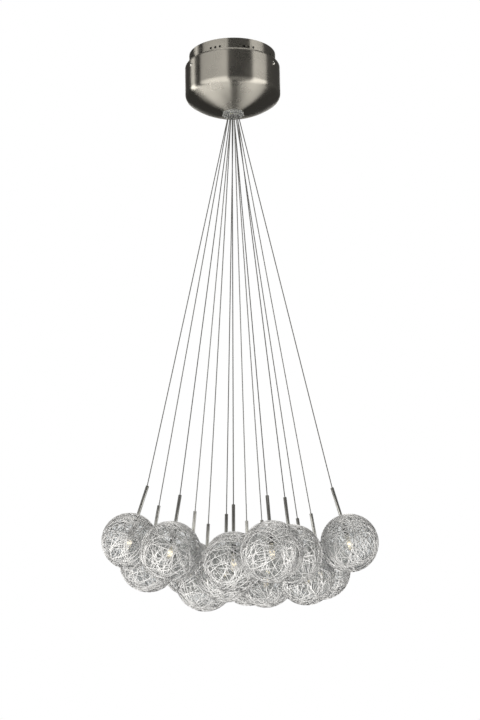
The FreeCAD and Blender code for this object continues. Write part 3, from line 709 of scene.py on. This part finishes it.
# ---- wire wraps ---------------------------------------------------------------------------
# One unbroken length of bright aluminium wire is wound by hand over each globe in wandering
# loops, and each loop lies on the ones under it.
WIRE_D = 0.0015
WIRE_FIT = 0.0003           # between the glass and the lowest loops
WRAP_LOW_R = GLASS_R + WIRE_FIT + WIRE_D / 2
WRAPS = ((3, 0.0554), (8, 0.0554), (21, 0.0535), (5, 0.0520))    # seed and greatest radius of each
WOUND_AS = (3, 0, 1, 2, 0, 1, 0, 2, 1, 1, 0, 2, 1, 2)            # which of them each globe shows
WRAP_SPIN = math.radians(137.5)                                  # from one globe to the next
LOOPS = 64
LAY_STEP = 0.0012           # between the points that the wire is laid by
KEEP_EVERY = 3              # of those points in the finished wire
START_DRIFT = 0.6           # how far the first loop may point off its great circle
AIM_EVERY = 70              # points between changes of the bend that the wire drifts to
AIM_MOST = 1.1
AIM_SHARE = 0.03            # of the way there that it drifts at each point
CROSSING = 0.0017           # centre lines nearer than this lie one on the other
SLOPE = 0.10                # how steeply the wire climbs over a crossing
LIFT_REACH = 0.012          # how far before and after a crossing the wire may climb
FIRST_LIFT = 0.40           # where in the wrap's thickness the first loops lie
LAST_LIFT = 0.35            # how much further out the last ones lie
BATCH = 40                  # points laid at a time
SMOOTHED = 4                # points to either side that a height is evened out over
NECK_ANGLE = math.radians(15)
NECK_HEIGHT = 0.2           # the push off the neck starts above this
NECK_PUSH = 2.5
SCUFF_SCALE = 900.0
TONE_SCALE = 60.0


def wandering_loops(seed):
    """directions from the globe's centre along loops that bend and drift, clear of the stem"""
    dice = random.Random(seed)
    point = Vector((1, 0, 0))
    travel = Vector((0, dice.uniform(-START_DRIFT, START_DRIFT), 1)).normalized()
    count = int(LOOPS * 2 * math.pi * WRAP_LOW_R / LAY_STEP)
    turn = LAY_STEP / WRAP_LOW_R
    bend = 0.0
    aim = 0.0
    directions = []
    for step in range(count):
        if step % AIM_EVERY == 0:
            aim = dice.uniform(-AIM_MOST, AIM_MOST)
        bend += (aim - bend) * AIM_SHARE
        axis = point.cross(travel)
        pull = 0.0
        if point.z > NECK_HEIGHT and abs(axis.z) < math.sin(NECK_ANGLE):
            pull = -math.copysign(NECK_PUSH, axis.z) * travel.z
        travel = (travel + axis * (bend + pull) * turn).normalized()
        point, travel = point + travel * turn, travel - point * turn
        point.normalize()
        travel = (travel - point * travel.dot(point)).normalized()
        directions.append(point.copy())
    return directions


def cell_of(direction, size):
    """the cube of space that a direction's tip is in"""
    return tuple(int(math.floor(c / size)) for c in direction)


def cells_around(cells, key):
    """the points laid in a cube and in the 26 that touch it"""
    for offset in itertools.product((-1, 0, 1), repeat=3):
        yield from cells.get(tuple(c + step for c, step in zip(key, offset)), ())


def laid_radii(directions, high):
    """how far from the centre each point lies once the wire rests on what is under it"""
    size = CROSSING / WRAP_LOW_R
    cells = {}
    radii = []
    reach = int(LIFT_REACH / LAY_STEP)
    for first in range(0, len(directions), BATCH):
        part = directions[first:first + BATCH]
        wanted = []
        for direction in part:
            lift = FIRST_LIFT + LAST_LIFT * first / len(directions)
            under = WRAP_LOW_R + (high - WRAP_LOW_R) * lift
            for other, radius in cells_around(cells, cell_of(direction, size)):
                if (other - direction).length < size:
                    under = max(under, radius + WIRE_D)
            wanted.append(under)
        before = radii[-reach:]
        line = before + wanted
        for i in range(len(wanted)):
            at = len(before) + i
            resting = max(line[j] - SLOPE * LAY_STEP * abs(at - j)
                          for j in range(max(0, at - reach), min(len(line), at + reach + 1)))
            radii.append(min(resting, high))
        for direction, radius in zip(part, radii[first:]):
            cells.setdefault(cell_of(direction, size), []).append((direction, radius))
    return radii


def wire_wrap(seed, high):
    """one globe's wire as a mesh about the origin, its loops no further out than high"""
    directions = wandering_loops(seed)
    radii = laid_radii(directions, high)
    nearby = [radii[max(0, i - SMOOTHED):i + SMOOTHED + 1] for i in range(len(radii))]
    smooth = [sum(few) / len(few) for few in nearby]
    points = [direction * radius for direction, radius in zip(directions, smooth)][::KEEP_EVERY]
    curve = bpy.data.curves.new("wrap", "CURVE")
    curve.dimensions = "3D"
    curve.bevel_depth = WIRE_D / 2
    curve.bevel_resolution = 1
    curve.use_fill_caps = True
    spline = curve.splines.new("POLY")
    spline.points.add(len(points) - 1)
    for control, point in zip(spline.points, points):
        control.co = (*point, 1)
    holder = bpy.data.objects.new("wrap", curve)
    data = bpy.data.meshes.new_from_object(holder)
    bpy.data.objects.remove(holder)
    for polygon in data.polygons:
        polygon.use_smooth = True
    return data


def drawn_aluminium(name):
    """bright wire with fine scuffs and a slow change of tone"""
    material, nodes, links, shader = new_material(name)
    place = nodes.new("ShaderNodeTexCoord")
    scuffs = noise_of(nodes, links, place.outputs["Object"], SCUFF_SCALE)
    tone = noise_of(nodes, links, place.outputs["Object"], TONE_SCALE)
    colour = nodes.new("ShaderNodeValToRGB")
    colour.color_ramp.elements[0].color = (0.84, 0.84, 0.85, 1)
    colour.color_ramp.elements[1].color = (0.93, 0.93, 0.94, 1)
    links.new(tone, colour.inputs["Fac"])
    links.new(colour.outputs["Color"], shader.inputs["Base Color"])
    shader.inputs["Metallic"].default_value = 1.0
    links.new(spread_between(nodes, links, scuffs, 0.32, 0.42), shader.inputs["Roughness"])
    add_bump(nodes, links, shader, scuffs, 0.04, FINE_RELIEF)
    return material


wraps = [wire_wrap(seed, high) for seed, high in WRAPS]
aluminium = drawn_aluminium("aluminium_wire")
for wrap in wraps:
    wrap.materials.append(aluminium)
for number, (label, pendant) in enumerate(zip(LABELS, PENDANTS)):
    _, globe, up = pendant_places(pendant)
    wire = on_stem(wraps[WOUND_AS[number]], f"wire_{label}", globe, up, WRAP_SPIN * number)
    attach(wire, body_with(f"globe_{label}"))
    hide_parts(f"globe_{label}")


# ---- studio -------------------------------------------------------------------------------
# A plain pale floor lies well below. Broad soft panels stand round the light, and the metal and
# glass mirror them: each has a brightness by azimuth, counted from the camera's side to the
# right, and one by height, from straight down at -1 to straight up at 1. The camera sees plain
# white behind the light. It stands low in front and looks up.
FLOOR_Z = -2.7
FLOOR_SIZE = 6
FLOOR_GLOW = 0.45           # keeps the floor as pale as the wall
CAMERA_AT = (0.005, -4.239, -1.941)
CAMERA_TILT = 17.07
CAMERA_ROLL = -1.0
LENS = 115
FILM_HEIGHT = 36
STUDIO_STRENGTH = 4.6
WARMTH = (1, 0.99, 0.965)
BEHIND_GLASS = (0.74, 0.74, 0.75, 1)
SURROUND = (
    (
        (-180, 0.015), (-116, 0.015), (-113, 0.85), (-101, 0.85), (-98, 0.0), (-83, 0.0),
        (-79, 0.45), (-14, 0.50), (-8, 0.01), (46, 0.01), (52, 0.64), (84, 0.60), (90, 0.04),
        (120, 0.02), (180, 0.015),
    ),
    (
        (-1, 0.9), (-0.85, 0.9), (-0.6, 0.88), (0.19, 0.88), (0.29, 0.12), (0.7, 0.12),
        (0.9, 0.1), (1, 0.1),
    ),
)
BACK = (                    # high, straight behind the light
    (
        (-180, 1.0), (-168, 1.0), (-160, 0.045), (-118, 0.035), (-112, 0.0), (88, 0.0),
        (94, 0.05), (160, 0.05), (168, 1.0), (180, 1.0),
    ),
    ((-1, 0), (0.05, 0), (0.15, 0.35), (0.8, 0.35), (1, 0)),
)
OVERHEAD = (
    ((-180, 1.0), (180, 1.0)),
    ((-1, 0), (0.88, 0), (0.94, 0.30), (1, 0.30)),
)
BELOW = (                   # a low pair behind the light
    (
        (-180, 0.06), (-170, 0.06), (-164, 0.26), (-120, 0.26), (-108, 0.0),
        (100, 0.0), (112, 0.24), (160, 0.24), (168, 0.06), (180, 0.06),
    ),
    ((-1, 0), (-0.95, 0.05), (-0.87, 1.0), (-0.73, 1.0), (-0.68, 0), (1, 0)),
)
FILL = (                    # low and dim, on the camera's side
    ((-180, 0.0), (-12, 0.0), (-4, 0.09), (42, 0.09), (50, 0.0), (180, 0.0)),
    ((-1, 0), (-0.85, 0), (-0.75, 1.0), (-0.05, 1.0), (0.02, 0), (1, 0)),
)

floor_mesh = bmesh.new()
bmesh.ops.create_grid(floor_mesh, x_segments=1, y_segments=1, size=FLOOR_SIZE)
bmesh.ops.translate(floor_mesh, verts=floor_mesh.verts, vec=(0, 0, FLOOR_Z))
floor_data = bpy.data.meshes.new("floor")
floor_mesh.to_mesh(floor_data)
floor_mesh.free()
floor = bpy.data.objects.new("floor", floor_data)
bpy.context.collection.objects.link(floor)
paint, _, _, paint_shader = new_material("pale_floor")
paint_shader.inputs["Base Color"].default_value = (0.86, 0.86, 0.85, 1)
paint_shader.inputs["Roughness"].default_value = 0.8
paint_shader.inputs["Emission Color"].default_value = (1, 0.99, 0.97, 1)
paint_shader.inputs["Emission Strength"].default_value = FLOOR_GLOW
floor_data.materials.append(paint)
floor.visible_glossy = False

scene = bpy.context.scene
scene.view_settings.view_transform = "Standard"
world = bpy.data.worlds.new("studio")
scene.world = world
world.use_nodes = True
nodes = world.node_tree.nodes
links = world.node_tree.links


def stops(value, levels, low, high):
    """a brightness that follows a direction's azimuth or height through a list of stops"""
    share = nodes.new("ShaderNodeMapRange")
    share.inputs["From Min"].default_value = low
    share.inputs["From Max"].default_value = high
    links.new(value, share.inputs["Value"])
    ramp = nodes.new("ShaderNodeValToRGB")
    for _ in range(len(levels) - 2):
        ramp.color_ramp.elements.new(0.5)
    for stop, (place, level) in zip(ramp.color_ramp.elements, levels):
        stop.position = (place - levels[0][0]) / (levels[-1][0] - levels[0][0])
        stop.color = (*(level * share_of for share_of in WARMTH), 1)
    links.new(share.outputs["Result"], ramp.inputs["Fac"])
    return ramp.outputs["Color"]


def blended(kind, first, second):
    """two colours multiplied or added"""
    blend = nodes.new("ShaderNodeMix")
    blend.data_type = "RGBA"
    blend.blend_type = kind
    blend.inputs["Factor"].default_value = 1.0
    links.new(first, blend.inputs["A"])
    links.new(second, blend.inputs["B"])
    return blend.outputs["Result"]


direction = nodes.new("ShaderNodeSeparateXYZ")
links.new(nodes.new("ShaderNodeTexCoord").outputs["Generated"], direction.inputs[0])
towards = nodes.new("ShaderNodeMath")
towards.operation = "MULTIPLY"
towards.inputs[1].default_value = -1
links.new(direction.outputs["Y"], towards.inputs[0])
azimuth = nodes.new("ShaderNodeMath")
azimuth.operation = "ARCTAN2"
links.new(direction.outputs["X"], azimuth.inputs[0])
links.new(towards.outputs[0], azimuth.inputs[1])
panels = None
for across, upright in (SURROUND, BACK, OVERHEAD, BELOW, FILL):
    round_about = stops(azimuth.outputs[0], across, -math.pi, math.pi)
    panel = blended("MULTIPLY", round_about, stops(direction.outputs["Z"], upright, -1, 1))
    panels = blended("ADD", panels, panel) if panels else panel
studio = nodes["Background"]
studio.inputs["Strength"].default_value = STUDIO_STRENGTH
links.new(panels, studio.inputs["Color"])
backdrop = nodes.new("ShaderNodeBackground")
backdrop.inputs["Color"].default_value = (1, 1, 1, 1)
through = nodes.new("ShaderNodeBackground")
through.inputs["Color"].default_value = BEHIND_GLASS
path = nodes.new("ShaderNodeLightPath")
seen_through = nodes.new("ShaderNodeMixShader")
links.new(path.outputs["Is Transmission Ray"], seen_through.inputs["Fac"])
links.new(studio.outputs[0], seen_through.inputs[1])
links.new(through.outputs[0], seen_through.inputs[2])
seen = nodes.new("ShaderNodeMixShader")
links.new(path.outputs["Is Camera Ray"], seen.inputs["Fac"])
links.new(seen_through.outputs[0], seen.inputs[1])
links.new(backdrop.outputs[0], seen.inputs[2])
links.new(seen.outputs[0], nodes["World Output"].inputs["Surface"])

lens = bpy.data.cameras.new("camera")
lens.lens = LENS
lens.sensor_fit = "VERTICAL"
lens.sensor_height = FILM_HEIGHT
camera = bpy.data.objects.new("camera", lens)
bpy.context.collection.objects.link(camera)
stand = Matrix.Translation(CAMERA_AT) @ Matrix.Rotation(math.radians(90 + CAMERA_TILT), 4, "X")
camera.matrix_world = stand @ Matrix.Rotation(math.radians(CAMERA_ROLL), 4, "Z")
scene.camera = camera
